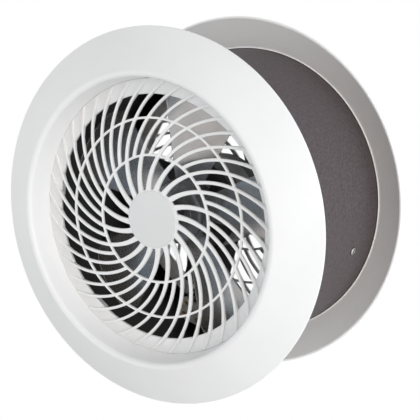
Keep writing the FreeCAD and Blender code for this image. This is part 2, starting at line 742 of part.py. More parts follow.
def hex_nut(name, bore, flat, high):
    b = body(name)
    s = sketch(b, "XY_Plane")
    c = flat / math.sqrt(3.0)
    outline(s, [(Q.of(c * math.cos(math.radians(60 * k + 30))), Q.of(c * math.sin(math.radians(60 * k + 30))))
                for k in range(6)])
    ring_hole(s, 0.0, 0.0, Q.of(bore))
    pad(b, s, Q.of(high))
    doc.recompute()
    return b


# the bracket's holes turn with it, so the screws and the motor are turned by the same angle
tie_abs = num(q("tie_turn")) + num(q("rivet_place"))


def tie_spots(y):
    out = []
    for k in range(4):
        a = math.radians(tie_abs + 90.0 * k)
        r = num(q("tie_circle"))
        out.append(Pla(V(r * math.cos(a), y, r * math.sin(a)), FACE.multiply(Rot(V(0, 0, 1), 35.0 * k))))
    return out


node(copies("tie_screws", ts, tie_spots(num(BY))), "motor_tie_screws")
tn = hex_nut("tie_nut_master", 2.05, 7.0, 3.2)
node(copies("tie_nuts", tn, tie_spots(num(BY) + 3.25)), "motor_tie_nuts")
for piece in (rs, fs, st, wd):
    seat(piece, BY, q("rivet_place"))
doc.recompute()

# ----------------------------------------------------------------------- fan
FB = q("fan_hub_back")
FF = q("fan_hub_front")
hb = turned("fan_hub_body", [
    (q("shaft_radius") + 0.05, FB + 1.0), (Q.of(8.5), FB + 1.0), (Q.of(8.5), FF - 2.6),
    (q("fan_hub") - q("fan_hub_wall"), FF - 2.6 - 2.0), (q("fan_hub") - q("fan_hub_wall"), FB),
    (q("fan_hub"), FB), (q("fan_hub"), FF - 5.0, Q.of(5.0), -1), (q("fan_hub") - 5.0, FF),
    (Q.of(20.0), FF), (Q.of(19.4), FF - 0.8), (Q.of(18.0), FF - 0.8), (Q.of(17.4), FF),
    (q("shaft_radius") + 0.05, FF),
])
doc.recompute()
sk = sketch(hb, "XY_Plane", lift=FB + 8.0)
outline(sk, [(Q.of(8.0), Q.of(-0.9)), (q("fan_hub") - 1.5, Q.of(-0.9)), (q("fan_hub") - 1.5, Q.of(0.9)),
             (Q.of(8.0), Q.of(0.9))])
pd = pad(hb, sk, FF - FB - 10.0)
doc.recompute()
around(hb, [pd], q("blade_count"))
doc.recompute()
sk = sketch(hb, "XZ_Plane", lift=Q.of(-12.0))
outline(sk, [(Q.of(-1.35), FB - 1.0), (Q.of(1.35), FB - 1.0), (Q.of(1.35), FB + 3.95), (Q.of(-1.35), FB + 3.95)])
pocket(hb, sk, Q.of(24.0), up=True)
doc.recompute()

ACROSS = Rot(V(1, 1, 1), 120)                # sketch x -> Y, sketch y -> Z, normal -> X
secs = []
for tag in ("sec_one", "sec_two", "sec_three"):
    s = doc.addObject("Sketcher::SketchObject", tag + "_sketch")
    s.Placement = Pla(V(num(q(tag)), 0, 0), ACROSS)
    bind(s, "Placement.Base.x", q(tag))
    w = q(tag + "_half")
    rise = q(tag + "_rise")
    half = q("blade_thick") / 2.0
    mid = q("fan_mid") - 1.5
    outline(s, [(-w, mid - rise - half, q(tag + "_curve"), 1), (w, mid + rise - half),
                (w, mid + rise + half, q(tag + "_curve"), -1), (-w, mid - rise + half)])
    secs.append(s)
doc.recompute()
loft = doc.addObject("Part::Loft", "blade_sheet")
loft.Sections = secs
loft.Solid = True
loft.Ruled = False
doc.recompute()

pf = body("blade_plan")
sk = sketch(pf, "XY_Plane", lift=Q.of(30.0))
ra, ta = q("blade_half_root"), q("blade_half_tip")
outline(sk, [
    (q("fan_root") * qcos(ra), -(q("fan_root") * qsin(ra))),
    (q("fan_tip") * qcos(ta), -(q("fan_tip") * qsin(ta)), q("fan_tip"), -1),
    (q("fan_tip") * qcos(ta), q("fan_tip") * qsin(ta)),
    (q("fan_root") * qcos(ra), q("fan_root") * qsin(ra), q("fan_root"), 1),
])
plan = pad(pf, sk, Q.of(90.0))
doc.recompute()
names = []
for i, e in enumerate(plan.Shape.Edges, 1):
    a, b = e.Vertexes[0].Point, e.Vertexes[-1].Point
    if abs(a.x - b.x) < 1e-6 and abs(a.y - b.y) < 1e-6 and a.x > 60:
        names.append("Edge%d" % i)
fi = pf.newObject("PartDesign::Fillet", "tip_round")
fi.Base = (plan, names)
fi.Radius = num(q("blade_corner"))
bind(fi, "Radius", q("blade_corner"))
doc.recompute()

blade = doc.addObject("Part::Common", "blade_common")
blade.Base = loft
blade.Tool = pf
doc.recompute()
parts = [hb]
for k in range(5):
    c = doc.addObject("Part::Compound", "blade_%d" % (k + 1))
    c.Links = [blade]
    c.Placement = Pla(V(0, 0, 0), Rot(V(0, 0, 1), 72.0 * k))
    parts.append(c)
fan = doc.addObject("Part::MultiFuse", "fan_fuse")
fan.Shapes = parts
fan.Refine = False
doc.recompute()
imp = doc.addObject("Part::Compound", "impeller_set")
imp.Links = [fan]
seat(imp, BY, q("fan_turn"))
node(imp, "impeller")
doc.recompute()

pn = turned("pin_master", [(0.0, Q.of(-8.2)), (Q.of(0.8), Q.of(-8.2)), (Q.of(1.2), Q.of(-7.8)), (Q.of(1.2), Q.of(7.8)),
                           (Q.of(0.8), Q.of(8.2)), (0.0, Q.of(8.2))])
pn.Placement = Pla(V(0, num(BY) - num(FB) - 2.6, 0),
                   FACE.multiply(Rot(V(0, 0, 1), num(q("fan_turn")))).multiply(Rot(V(1, 0, 0), 90)))
node(pn, "drive_pin")

nut = turned("cap_nut_body", [
    (q("shaft_radius") + 0.05, FF + 0.05), (Q.of(11.0), FF + 0.05), (Q.of(11.0), FF + 5.0, Q.of(6.0), -1),
    (Q.of(6.5), FF + 9.6), (0.0, FF + 10.2), (0.0, shaft_front + 0.6), (q("shaft_radius") + 0.05, shaft_front + 0.6),
])
doc.recompute()
sk = sketch(nut, "XY_Plane", lift=FF + 0.05)
ring_hole(sk, Q.of(11.6), 0.0, Q.of(1.5))
pk = pocket(nut, sk, Q.of(20.0), up=True)
doc.recompute()
around(nut, [pk], Q.of(8.0))
seat(nut, BY, q("fan_turn"))
node(nut, "impeller_nut")
doc.recompute()

# --------------------------------------------------- electrics on one strap
# local X runs out along the strap, local Y across it, local Z towards the room
SV = q("service_place")


def on_strap(obj, x=0.0, y=0.0, z=0.0):
    turn = FACE.multiply(Rot(V(0, 0, 1), num(SV)))
    obj.Placement = Pla(V(0, num(BY), 0) + turn.multVec(V(x, y, z)), turn)


cap = body("capacitor_body")
sk = sketch(cap, "XY_Plane", lift=Q.of(-17.0))
outline(sk, [(Q.of(62.0), Q.of(-12.5)), (Q.of(98.0), Q.of(-12.5)), (Q.of(98.0), Q.of(12.5)), (Q.of(62.0), Q.of(12.5))])
pd = pad(cap, sk, Q.of(16.95))
doc.recompute()
names = []
for i, e in enumerate(pd.Shape.Edges, 1):
    a, b = e.Vertexes[0].Point, e.Vertexes[-1].Point
    if (abs(a.x - b.x) < 1e-6 and abs(a.y - b.y) < 1e-6) or (a.z < -16.9 and b.z < -16.9):
        names.append("Edge%d" % i)
fi = cap.newObject("PartDesign::Fillet", "case_round")
fi.Base = (pd, names)
fi.Radius = 2.0
doc.recompute()
sk = sketch(cap, "XY_Plane", lift=Q.of(-2.6))
outline(sk, [(Q.of(95.0), Q.of(-7.0)), (Q.of(103.0), Q.of(-7.0), Q.of(7.3), -1), (Q.of(103.0), Q.of(7.0)),
             (Q.of(95.0), Q.of(7.0))])
pad(cap, sk, Q.of(2.55))
doc.recompute()
sk = sketch(cap, "XY_Plane", lift=Q.of(5.0))
ring_hole(sk, Q.of(103.0), 0.0, Q.of(2.2))
pocket(cap, sk)
on_strap(cap)
node(cap, "run_capacitor")
doc.recompute()


def pan_screw(name, rad, head, high, length):
    b = turned(name, [(0.0, Q.of(-length)), (Q.of(rad - 0.3), Q.of(-length)), (Q.of(rad), Q.of(-length + 0.3)),
                      (Q.of(rad), 0.0), (Q.of(head), 0.0), (Q.of(head), Q.of(high * 0.6)),
                      (Q.of(head * 0.65), Q.of(high)), (0.0, Q.of(high))])
    doc.recompute()
    s = sketch(b, "XY_Plane", lift=Q.of(high + 4.0))
    outline(s, [(Q.of(-head - 1), Q.of(-0.4)), (Q.of(head + 1), Q.of(-0.4)), (Q.of(head + 1), Q.of(0.4)),
                (Q.of(-head - 1), Q.of(0.4))])
    pocket(b, s, Q.of(4.0 + high * 0.45))
    doc.recompute()
    return b


turn_sv = FACE.multiply(Rot(V(0, 0, 1), num(SV)))
cs = pan_screw("capacitor_screw_body", 2.0, 3.8, 2.6, 7.6)
cs.Placement = Pla(V(0, num(BY), 0) + turn_sv.multVec(V(103.0, 0, -2.65)), turn_sv.multiply(Rot(V(1, 0, 0), 180)))
node(cs, "capacitor_screw")
cn = hex_nut("capacitor_nut_body", 2.05, 7.0, 2.4)
on_strap(cn, 103.0, 0.0, num(PT) + 0.05)
node(cn, "capacitor_nut")

tb = body("block_body")
sk = sketch(tb, "XY_Plane", lift=PT + 0.05)
outline(sk, [(Q.of(109.0), Q.of(-13.0)), (Q.of(130.0), Q.of(-13.0)), (Q.of(130.0), Q.of(13.0)), (Q.of(109.0), Q.of(13.0))])
pd = pad(tb, sk, Q.of(12.0))
doc.recompute()
names = []
for i, e in enumerate(pd.Shape.Edges, 1):
    a, b = e.Vertexes[0].Point, e.Vertexes[-1].Point
    if abs(a.x - b.x) < 1e-6 and abs(a.y - b.y) < 1e-6:
        names.append("Edge%d" % i)
fi = tb.newObject("PartDesign::Fillet", "block_round")
fi.Base = (pd, names)
fi.Radius = 1.2
doc.recompute()
sk = sketch(tb, "XY_Plane", lift=PT + 20.0)
for x in (114.0, 125.0):
    for y in (-8.4, 8.4):
        ring_hole(sk, Q.of(x), Q.of(y), Q.of(2.6))
pocket(tb, sk, Q.of(14.0))
doc.recompute()
sk = sketch(tb, "XY_Plane", lift=PT + 20.0)
ring_hole(sk, Q.of(119.5), 0.0, Q.of(1.7))
pocket(tb, sk)
doc.recompute()
sk = sketch(tb, "XY_Plane", lift=PT + 20.0)
ring_hole(sk, Q.of(119.5), 0.0, Q.of(3.3))
pocket(tb, sk, Q.of(12.0))
doc.recompute()
sk = sketch(tb, "YZ_Plane", lift=Q.of(104.0))
ring_hole(sk, 0.0, q("lead_level"), q("lead_radius") + 0.2)
pocket(tb, sk, Q.of(8.0), up=True)
doc.recompute()
on_strap(tb)
node(tb, "terminal_block")

tsm = pan_screw("terminal_screw_master", 1.5, 2.4, 1.8, 2.0)
spots = []
for x in (114.0, 125.0):
    for i, y in enumerate((-8.4, 8.4)):
        spots.append(Pla(V(0, num(BY), 0) + turn_sv.multVec(V(x, y, num(PT) + 6.05 + 2.05)),
                         turn_sv.multiply(Rot(V(0, 0, 1), 25.0 + 50.0 * i + x))))
node(copies("terminal_screw_set", tsm, spots), "terminal_screws")
bs = pan_screw("block_screw_body", 1.5, 2.9, 2.0, 13.0)
on_strap(bs, 119.5, 0.0, num(PT) + 8.05)
node(bs, "block_screw")
bn = hex_nut("block_nut_body", 1.55, 5.5, 2.4)
on_strap(bn, 119.5, 0.0, -2.45)
node(bn, "block_nut")

# sheathed lead from the rear shield to the block
ld = body("lead_body")
sk = sketch(ld, "YZ_Plane", lift=Q.of(38.5))
ring_hole(sk, 0.0, q("lead_level"), q("lead_radius"))
pad(ld, sk, Q.of(73.3))
on_strap(ld)
node(ld, "motor_lead")

# clip: pillar, loop round the lead, peg through the strap
cl = body("clip_body")
sk = sketch(cl, "YZ_Plane", lift=Q.of(54.0))
ring_hole(sk, 0.0, q("lead_level"), q("lead_radius") + 1.6)
pad(cl, sk, Q.of(8.0))
sk = sketch(cl, "XY_Plane", lift=PT + 0.05)
outline(sk, [(Q.of(54.0), Q.of(-4.6)), (Q.of(62.0), Q.of(-4.6)), (Q.of(62.0), Q.of(4.6)), (Q.of(54.0), Q.of(4.6))])
pad(cl, sk, Q.of(4.0))
sk = sketch(cl, "XY_Plane", lift=Q.of(-1.6))
ring_hole(sk, Q.of(58.0), 0.0, Q.of(1.6))
pad(cl, sk, Q.of(5.0))
doc.recompute()
sk = sketch(cl, "YZ_Plane", lift=Q.of(50.0))
ring_hole(sk, 0.0, q("lead_level"), q("lead_radius") + 0.05)
pocket(cl, sk, Q.of(20.0), up=True)
on_strap(cl)
node(cl, "lead_clip")
doc.recompute()

# two wires from the capacitor round the strap's edges to the block
path = doc.addObject("Sketcher::SketchObject", "wire_path")
path.Placement = Pla(V(0, 10.9, 0), Rot(V(1, 0, 0), 90))
run = [V(98.0, -9.0, 0), V(99.5, -9.0, 0), V(103.5, -5.0, 0), V(103.5, 4.0, 0), V(107.5, 8.0, 0), V(109.0, 8.0, 0)]
s45 = 4.0 * math.sqrt(0.5)
path.addGeometry(Part.LineSegment(run[0], run[1]), False)
path.addGeometry(Part.Arc(run[1], V(99.5 + s45, -5.0 - s45, 0), run[2]), False)
path.addGeometry(Part.LineSegment(run[2], run[3]), False)
path.addGeometry(Part.Arc(run[3], V(107.5 - s45, 4.0 + s45, 0), run[4]), False)
path.addGeometry(Part.LineSegment(run[4], run[5]), False)
ends = doc.addObject("Sketcher::SketchObject", "wire_round")
ends.Placement = Pla(V(98.0, 10.9, -9.0), ACROSS)
ring_hole(ends, 0.0, 0.0, Q.of(1.1))
doc.recompute()
wire = doc.addObject("Part::Sweep", "wire_master")
wire.Sections = [ends]
wire.Spine = (path, ["Edge%d" % (i + 1) for i in range(5)])
wire.Solid = True
wire.Frenet = False
doc.recompute()
node(copies("capacitor_wires", wire, [
    Pla(V(0, num(BY), 0), turn_sv),
    Pla(V(0, num(BY), 0) + turn_sv.multVec(V(0, -21.8, 0)), turn_sv),
]), "capacitor_leads")

# grommet for the supply lead, in the tube wall; its inner nose grips the lead
gm = turned("grommet_body", [
    (Q.of(3.6), d_in - 5.0), (Q.of(5.4), d_in - 5.0), (Q.of(6.2), d_in - 2.4), (Q.of(8.2), d_in - 2.4),
    (Q.of(9.0), d_in - 1.7), (Q.of(9.0), d_in - 0.4),
    (q("grommet_hole") - 0.05, d_in - 0.4), (q("grommet_hole") - 0.05, q("duct_radius") + 0.05),
    (Q.of(9.0), q("duct_radius") + 0.05), (Q.of(8.6), q("duct_radius") + 1.0), (Q.of(6.4), q("duct_radius") + 1.3),
    (Q.of(4.8), q("duct_radius") + 1.3), (Q.of(4.8), d_in - 0.6), (Q.of(3.6), d_in - 0.6),
])
ga = math.radians(num(q("grommet_place")))
gm.Placement = Pla(V(0, num(BY) - num(q("grommet_ahead")), 0), Rot(V(0, 0, 1), V(math.cos(ga), 0, math.sin(ga))))
node(gm, "cable_grommet")
doc.recompute()

# --------------------------------------------------------------------- write
bad = []
for o in doc.Objects:
    if any(w in ("Invalid", "Error", "Touched") for w in o.State):
        bad.append("%s %s" % (o.Name, o.State))
for o in NODES:
    if o.Shape.isNull() or not o.Shape.isValid() or not o.Shape.Solids:
        bad.append("%s has a bad shape" % o.Label)
if bad:
    for line in bad:
        print(line)
    raise SystemExit("some pieces did not come out")
os.makedirs("parts", exist_ok=True)
for o in NODES:
    box = o.Shape.BoundBox
    print("%-20s solids %2d  vol %10.1f  x %.1f..%.1f y %.1f..%.1f z %.1f..%.1f" % (
        o.Label, len(o.Shape.Solids), o.Shape.Volume, box.XMin, box.XMax, box.YMin, box.YMax, box.ZMin, box.ZMax))
    o.Shape.exportStep("parts/%s.step" % o.Label)
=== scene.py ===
import math

import bmesh
import bpy
import numpy as np
from mathutils import Matrix, Vector


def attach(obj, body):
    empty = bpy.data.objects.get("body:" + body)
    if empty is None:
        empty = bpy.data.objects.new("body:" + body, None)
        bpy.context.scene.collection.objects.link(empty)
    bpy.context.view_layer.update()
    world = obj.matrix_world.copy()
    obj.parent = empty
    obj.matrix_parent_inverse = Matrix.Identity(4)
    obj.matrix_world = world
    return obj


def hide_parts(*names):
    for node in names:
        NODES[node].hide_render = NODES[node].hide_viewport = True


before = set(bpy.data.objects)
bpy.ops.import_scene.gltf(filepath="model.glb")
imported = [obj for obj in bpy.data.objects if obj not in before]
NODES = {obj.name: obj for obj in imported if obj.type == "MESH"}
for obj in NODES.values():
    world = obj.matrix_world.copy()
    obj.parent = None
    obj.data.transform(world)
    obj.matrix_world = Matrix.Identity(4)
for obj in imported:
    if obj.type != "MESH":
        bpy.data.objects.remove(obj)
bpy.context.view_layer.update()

MM = 0.001
RIM = 71.0          # rim plane of each flange, mm from the middle of the tube
SCENE = bpy.context.scene


# ------------------------------------------------------------------ mesh tools
def rounded(points):
    """Closed outline with its corners rounded. Each point is (x, y, radius, steps)."""
    out = []
    n = len(points)
    for i in range(n):
        x, y, rad, steps = points[i]
        if rad <= 0.0:
            out.append((x, y))
            continue
        p = np.array((x, y), float)
        a = np.array(points[i - 1][:2], float) - p
        b = np.array(points[(i + 1) % n][:2], float) - p
        a /= np.linalg.norm(a)
        b /= np.linalg.norm(b)
        half = math.acos(max(-1.0, min(1.0, float(a @ b)))) / 2.0
        cut = rad / math.tan(half)
        mid = (a + b) / np.linalg.norm(a + b)
        cen = p + mid * (rad / math.sin(half))
        s, e = p + a * cut - cen, p + b * cut - cen
        turn = math.atan2(s[0] * e[1] - s[1] * e[0], float(s @ e))
        for k in range(steps + 1):
            t = turn * k / steps
            out.append((cen[0] + s[0] * math.cos(t) - s[1] * math.sin(t),
                        cen[1] + s[0] * math.sin(t) + s[1] * math.cos(t)))
    return out


class Build:
    """Vertices and faces of one piece, in local (x right, z up, s outwards) millimetres."""

    def __init__(self):
        self.v = []
        self.f = []

    def add(self, x, z, s):
        self.v.append((x, z, s))
        return len(self.v) - 1

    def polar(self, r, ang, s):
        return self.add(r * math.cos(ang), r * math.sin(ang), s)

    def lathe(self, profile, seg, start=0.0, sweep=2.0 * math.pi):
        """Turn a closed outline of (r, s) about the axis; part turns get end caps."""
        full = sweep > 2.0 * math.pi - 1e-6
        count = seg if full else seg + 1
        rings = [[self.polar(r, start + sweep * k / seg, s) for r, s in profile] for k in range(count)]
        m = len(profile)
        for k in range(seg):
            a, b = rings[k], rings[(k + 1) % count]
            for i in range(m):
                j = (i + 1) % m
                self.f.append((a[i], a[j], b[j], b[i]))
        if not full:
            self.f.append(tuple(rings[0]))
            self.f.append(tuple(reversed(rings[-1])))

    def make(self, name, place, crease=38.0, weld=1e-6):
        me = bpy.data.meshes.new(name)
        me.from_pydata([place(*p) for p in self.v], [], self.f)
        bm = bmesh.new()
        bm.from_mesh(me)
        bmesh.ops.remove_doubles(bm, verts=bm.verts, dist=weld)
        bmesh.ops.dissolve_degenerate(bm, edges=bm.edges, dist=1e-7)
        bmesh.ops.recalc_face_normals(bm, faces=bm.faces)
        bm.to_mesh(me)
        bm.free()
        me.polygons.foreach_set("use_smooth", [True] * len(me.polygons))
        me.set_sharp_from_angle(angle=math.radians(crease))
        me.update()
        ob = bpy.data.objects.new(name, me)
        SCENE.collection.objects.link(ob)
        return ob


def front(x, z, s):
    return (x * MM, -(RIM + s) * MM, z * MM)


def rear(x, z, s):
    return (-x * MM, (RIM + s) * MM, z * MM)


def inner(x, z, s):
    """Inner pieces: s is the distance from the bracket towards the room."""
    return (x * MM, (43.0 - s) * MM, z * MM)


def piece(ob, body, slot, mat, *nodes):
    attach(ob, body)
    ob.data.materials.clear()
    ob.data.materials.append(mat)
    if nodes:
        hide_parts(*nodes)
    return ob


# ------------------------------------------------------------------- materials
def finish(name, dark, light, rough, tone=45.0, grain=900.0, depth=0.00002, strength=0.25, metallic=0.0,
           spread=(0.35, 0.65), **sockets):
    """Base colour that drifts between two near tones, roughness and fine relief from noise."""
    m = bpy.data.materials.new(name)
    m.use_nodes = True
    nt = m.node_tree
    b = nt.nodes["Principled BSDF"]
    co = nt.nodes.new("ShaderNodeTexCoord")
    n1 = nt.nodes.new("ShaderNodeTexNoise")
    n1.inputs["Scale"].default_value = tone
    n1.inputs["Detail"].default_value = 4.0
    nt.links.new(co.outputs["Object"], n1.inputs["Vector"])
    ramp = nt.nodes.new("ShaderNodeValToRGB")
    ramp.color_ramp.elements[0].position = spread[0]
    ramp.color_ramp.elements[1].position = spread[1]
    ramp.color_ramp.elements[0].color = (*dark, 1.0)
    ramp.color_ramp.elements[1].color = (*light, 1.0)
    nt.links.new(n1.outputs["Fac"], ramp.inputs["Fac"])
    nt.links.new(ramp.outputs["Color"], b.inputs["Base Color"])
    n2 = nt.nodes.new("ShaderNodeTexNoise")
    n2.inputs["Scale"].default_value = grain
    n2.inputs["Detail"].default_value = 3.0
    nt.links.new(co.outputs["Object"], n2.inputs["Vector"])
    rr = nt.nodes.new("ShaderNodeMapRange")
    rr.inputs["To Min"].default_value = rough[0]
    rr.inputs["To Max"].default_value = rough[1]
    nt.links.new(n2.outputs["Fac"], rr.inputs["Value"])
    nt.links.new(rr.outputs["Result"], b.inputs["Roughness"])
    bp = nt.nodes.new("ShaderNodeBump")
    bp.inputs["Strength"].default_value = strength
    bp.inputs["Distance"].default_value = depth
    nt.links.new(n2.outputs["Fac"], bp.inputs["Height"])
    nt.links.new(bp.outputs["Normal"], b.inputs["Normal"])
    b.inputs["Metallic"].default_value = metallic
    for key, val in sockets.items():
        b.inputs[key.replace("_", " ")].default_value = val
    return m


M = {
    "flange_white": finish("flange_white", (0.86, 0.86, 0.855), (0.885, 0.885, 0.885), (0.34, 0.44), tone=18.0,
                           grain=1500.0, depth=0.00001, strength=0.12),
    "guard_white": finish("guard_white", (0.872, 0.874, 0.872), (0.898, 0.90, 0.898), (0.26, 0.38), tone=22.0,
                          grain=1500.0, depth=0.00001, strength=0.12),
    "duct_paint": finish("duct_paint", (0.058, 0.046, 0.048), (0.106, 0.085, 0.088), (0.42, 0.60), tone=480.0,
                         grain=2600.0, depth=0.00004, strength=0.35),
    "bracket_paint": finish("bracket_paint", (0.020, 0.020, 0.022), (0.032, 0.032, 0.034), (0.38, 0.55), tone=40.0,
                            grain=2200.0, depth=0.00004, strength=0.35),
    "rivet_alloy": finish("rivet_alloy", (0.48, 0.46, 0.45), (0.58, 0.56, 0.55), (0.30, 0.45), tone=300.0,
                          grain=3000.0, metallic=1.0),
    "motor_black": finish("motor_black", (0.014, 0.014, 0.016), (0.024, 0.024, 0.026), (0.30, 0.48), tone=60.0,
                          grain=1800.0, depth=0.00004, strength=0.35),
    "lamination": finish("lamination", (0.16, 0.16, 0.165), (0.25, 0.25, 0.25), (0.35, 0.55), tone=90.0,
                         grain=2400.0, metallic=0.9),
    "copper_coil": finish("copper_coil", (0.42, 0.17, 0.07), (0.58, 0.26, 0.11), (0.30, 0.45), tone=500.0,
                          grain=2500.0, metallic=0.9),
    "cast_alloy": finish("cast_alloy", (0.55, 0.55, 0.56), (0.66, 0.66, 0.67), (0.40, 0.55), tone=150.0,
                         grain=2200.0, metallic=0.9),
    "shaft_steel": finish("shaft_steel", (0.52, 0.52, 0.53), (0.62, 0.62, 0.63), (0.20, 0.32), tone=200.0,
                          grain=2600.0, metallic=1.0),
    "bearing_bronze": finish("bearing_bronze", (0.40, 0.25, 0.10), (0.50, 0.33, 0.15), (0.35, 0.50), tone=300.0,
                             grain=2600.0, metallic=1.0),
    "washer_fibre": finish("washer_fibre", (0.17, 0.09, 0.05), (0.24, 0.13, 0.08), (0.60, 0.75), tone=400.0,
                           grain=2200.0),
    "zinc_steel": finish("zinc_steel", (0.50, 0.51, 0.52), (0.62, 0.62, 0.60), (0.26, 0.40), tone=260.0,
                         grain=2600.0, metallic=1.0),
    "nut_plastic": finish("nut_plastic", (0.020, 0.020, 0.022), (0.030, 0.030, 0.032), (0.28, 0.40), tone=90.0,
                          grain=1800.0),
    "capacitor_case": finish("capacitor_case", (0.66, 0.66, 0.65), (0.72, 0.72, 0.71), (0.35, 0.46), tone=60.0,
                             grain=1600.0),
    "block_white": finish("block_white", (0.70, 0.69, 0.66), (0.76, 0.75, 0.72), (0.36, 0.48), tone=70.0,
                          grain=1600.0),
    "terminal_brass": finish("terminal_brass", (0.52, 0.36, 0.12), (0.62, 0.45, 0.18), (0.26, 0.40), tone=300.0,
                             grain=2600.0, metallic=1.0),
    "lead_sheath": finish("lead_sheath", (0.045, 0.045, 0.048), (0.060, 0.060, 0.064), (0.42, 0.55), tone=90.0,
                          grain=1800.0),
    "clip_plastic": finish("clip_plastic", (0.60, 0.60, 0.58), (0.68, 0.68, 0.66), (0.36, 0.48), tone=90.0,
                           grain=1800.0),
    "wire_sheath": finish("wire_sheath", (0.10, 0.10, 0.105), (0.13, 0.13, 0.135), (0.40, 0.52), tone=120.0,
                          grain=1800.0),
    "grommet_rubber": finish("grommet_rubber", (0.022, 0.022, 0.022), (0.032, 0.032, 0.032), (0.60, 0.75), tone=90.0,
                             grain=1800.0),
    "fan_smoke": finish("fan_smoke", (0.685, 0.65, 0.635), (0.745, 0.71, 0.695), (0.18, 0.24), tone=25.0,
                        grain=90.0, depth=0.00001, strength=0.03, Transmission_Weight=0.90, IOR=1.80,
                        Specular_Tint=(0.62, 0.82, 1.0, 1.0)),
}


def sums(nt, op, a, b):
    """One step of arithmetic in a material; each side is a number or a socket."""
    node = nt.nodes.new("ShaderNodeMath")
    node.operation = op
    for k, side in enumerate((a, b)):
        if isinstance(side, (int, float)):
            node.inputs[k].default_value = side
        else:
            nt.links.new(side, node.inputs[k])
    return node.outputs[0]


def where(nt):
    """Distance from the fan axis and distance from the middle of the tube along it."""
    co = nt.nodes.new("ShaderNodeTexCoord")
    flat = nt.nodes.new("ShaderNodeVectorMath")
    flat.operation = "MULTIPLY"
    flat.inputs[1].default_value = (1.0, 0.0, 1.0)
    nt.links.new(co.outputs["Object"], flat.inputs[0])
    far = nt.nodes.new("ShaderNodeVectorMath")
    far.operation = "LENGTH"
    nt.links.new(flat.outputs["Vector"], far.inputs[0])
    xyz = nt.nodes.new("ShaderNodeSeparateXYZ")
    nt.links.new(co.outputs["Object"], xyz.inputs[0])
    return far.outputs["Value"], sums(nt, "ABSOLUTE", xyz.outputs["Y"], 0.0)


def second_tone(m, mask, dark, light, tone=None):
    """Another pair of near tones on the part of a finish that the mask picks out."""
    nt = m.node_tree
    b = nt.nodes["Principled BSDF"]
    first = b.inputs["Base Color"].links[0].from_socket
    co = nt.nodes.new("ShaderNodeTexCoord")
    noise = nt.nodes.new("ShaderNodeTexNoise")
    noise.inputs["Scale"].default_value = tone or 60.0
    noise.inputs["Detail"].default_value = 4.0
    nt.links.new(co.outputs["Object"], noise.inputs["Vector"])
    ramp = nt.nodes.new("ShaderNodeValToRGB")
    ramp.color_ramp.elements[0].position = 0.35
    ramp.color_ramp.elements[1].position = 0.65
    ramp.color_ramp.elements[0].color = (*dark, 1.0)
    ramp.color_ramp.elements[1].color = (*light, 1.0)
    nt.links.new(noise.outputs["Fac"], ramp.inputs["Fac"])
    mix = nt.nodes.new("ShaderNodeMix")
    mix.data_type = "RGBA"
    nt.links.new(mask, mix.inputs["Factor"])
    nt.links.new(first, mix.inputs["A"])
    nt.links.new(ramp.outputs["Color"], mix.inputs["B"])
    nt.links.new(mix.outputs["Result"], b.inputs["Base Color"])


# painted shade: the inside of the tube is coloured near black for the shade in it
nt = M["duct_paint"].node_tree
far, _ = where(nt)
second_tone(M["duct_paint"], sums(nt, "LESS_THAN", far, 0.1380), (0.009, 0.008, 0.008), (0.018, 0.016, 0.015), 420.0)
# painted shade: the flanges' sleeve in the tube, between the tube and the collar round the guard, is coloured near
# black as well
nt = M["flange_white"].node_tree
far, deep = where(nt)
mask = sums(nt, "MULTIPLY", sums(nt, "LESS_THAN", far, 0.1389),
            sums(nt, "MULTIPLY", sums(nt, "GREATER_THAN", sums(nt, "SUBTRACT", far, sums(nt, "MULTIPLY", deep, 0.14)), 0.1161),
                 sums(nt, "LESS_THAN", deep, 0.0895)))
second_tone(M["flange_white"], mask, (0.012, 0.011, 0.010), (0.022, 0.019, 0.018), 200.0)
# painted light: the flanges are coloured a little whiter inside the cone, for light the hollow lacks
second_tone(M["flange_white"], sums(nt, "MULTIPLY", sums(nt, "GREATER_THAN", far, 0.1389),
            sums(nt, "LESS_THAN", sums(nt, "ADD", deep, sums(nt, "MULTIPLY", far, 0.5714)), 0.1686)),
            (0.935, 0.93, 0.92), (0.955, 0.95, 0.94), 60.0)
# the guards' flat ring is frosted
nt = M["guard_white"].node_tree
far, deep = where(nt)
second_tone(M["guard_white"], sums(nt, "MULTIPLY", sums(nt, "GREATER_THAN", far, 0.1100), sums(nt, "LESS_THAN", deep, 0.0700)),
            (0.81, 0.812, 0.812), (0.875, 0.878, 0.878), 1500.0)
# painted shade: the guards' disc is coloured a shade darker than the arms
second_tone(M["guard_white"], sums(nt, "LESS_THAN", far, 0.0257), (0.745, 0.75, 0.75), (0.768, 0.773, 0.773), 30.0)
# painted shade: the rivets are coloured near black within 139 mm of the axis, at their bores, the foot of their heads
# and their tails inside the tube
nt = M["rivet_alloy"].node_tree
far, deep = where(nt)
second_tone(M["rivet_alloy"], sums(nt, "LESS_THAN", far, 0.1390), (0.020, 0.018, 0.018), (0.034, 0.031, 0.030), 400.0)

SLOT_OF = {
    "duct_tube": "duct_paint", "motor_bracket": "bracket_paint", "bracket_rivets": "rivet_alloy",
    "motor_rear_shield": "motor_black", "motor_front_shield": "motor_black", "stator_core": "lamination",
    "stator_winding": "copper_coil", "rotor_core": "lamination", "rotor_end_rings": "cast_alloy",
    "motor_shaft": "shaft_steel", "rear_bearing": "bearing_bronze", "front_bearing": "bearing_bronze",
    "thrust_washers": "washer_fibre", "motor_tie_screws": "zinc_steel", "motor_tie_nuts": "zinc_steel",
    "drive_pin": "shaft_steel", "impeller_nut": "nut_plastic", "run_capacitor": "capacitor_case",
    "capacitor_screw": "zinc_steel", "capacitor_nut": "zinc_steel", "terminal_block": "block_white",
    "terminal_screws": "terminal_brass", "block_screw": "zinc_steel", "block_nut": "zinc_steel",
    "motor_lead": "lead_sheath", "lead_clip": "clip_plastic", "capacitor_leads": "wire_sheath",
    "cable_grommet": "grommet_rubber", "front_flange": "flange_white", "rear_flange": "flange_white",
    "front_grille": "guard_white", "rear_grille": "guard_white", "impeller": "fan_smoke",
}
for key, ob in NODES.items():
    ob.data.materials.clear()
    ob.data.materials.append(M[SLOT_OF[key]])

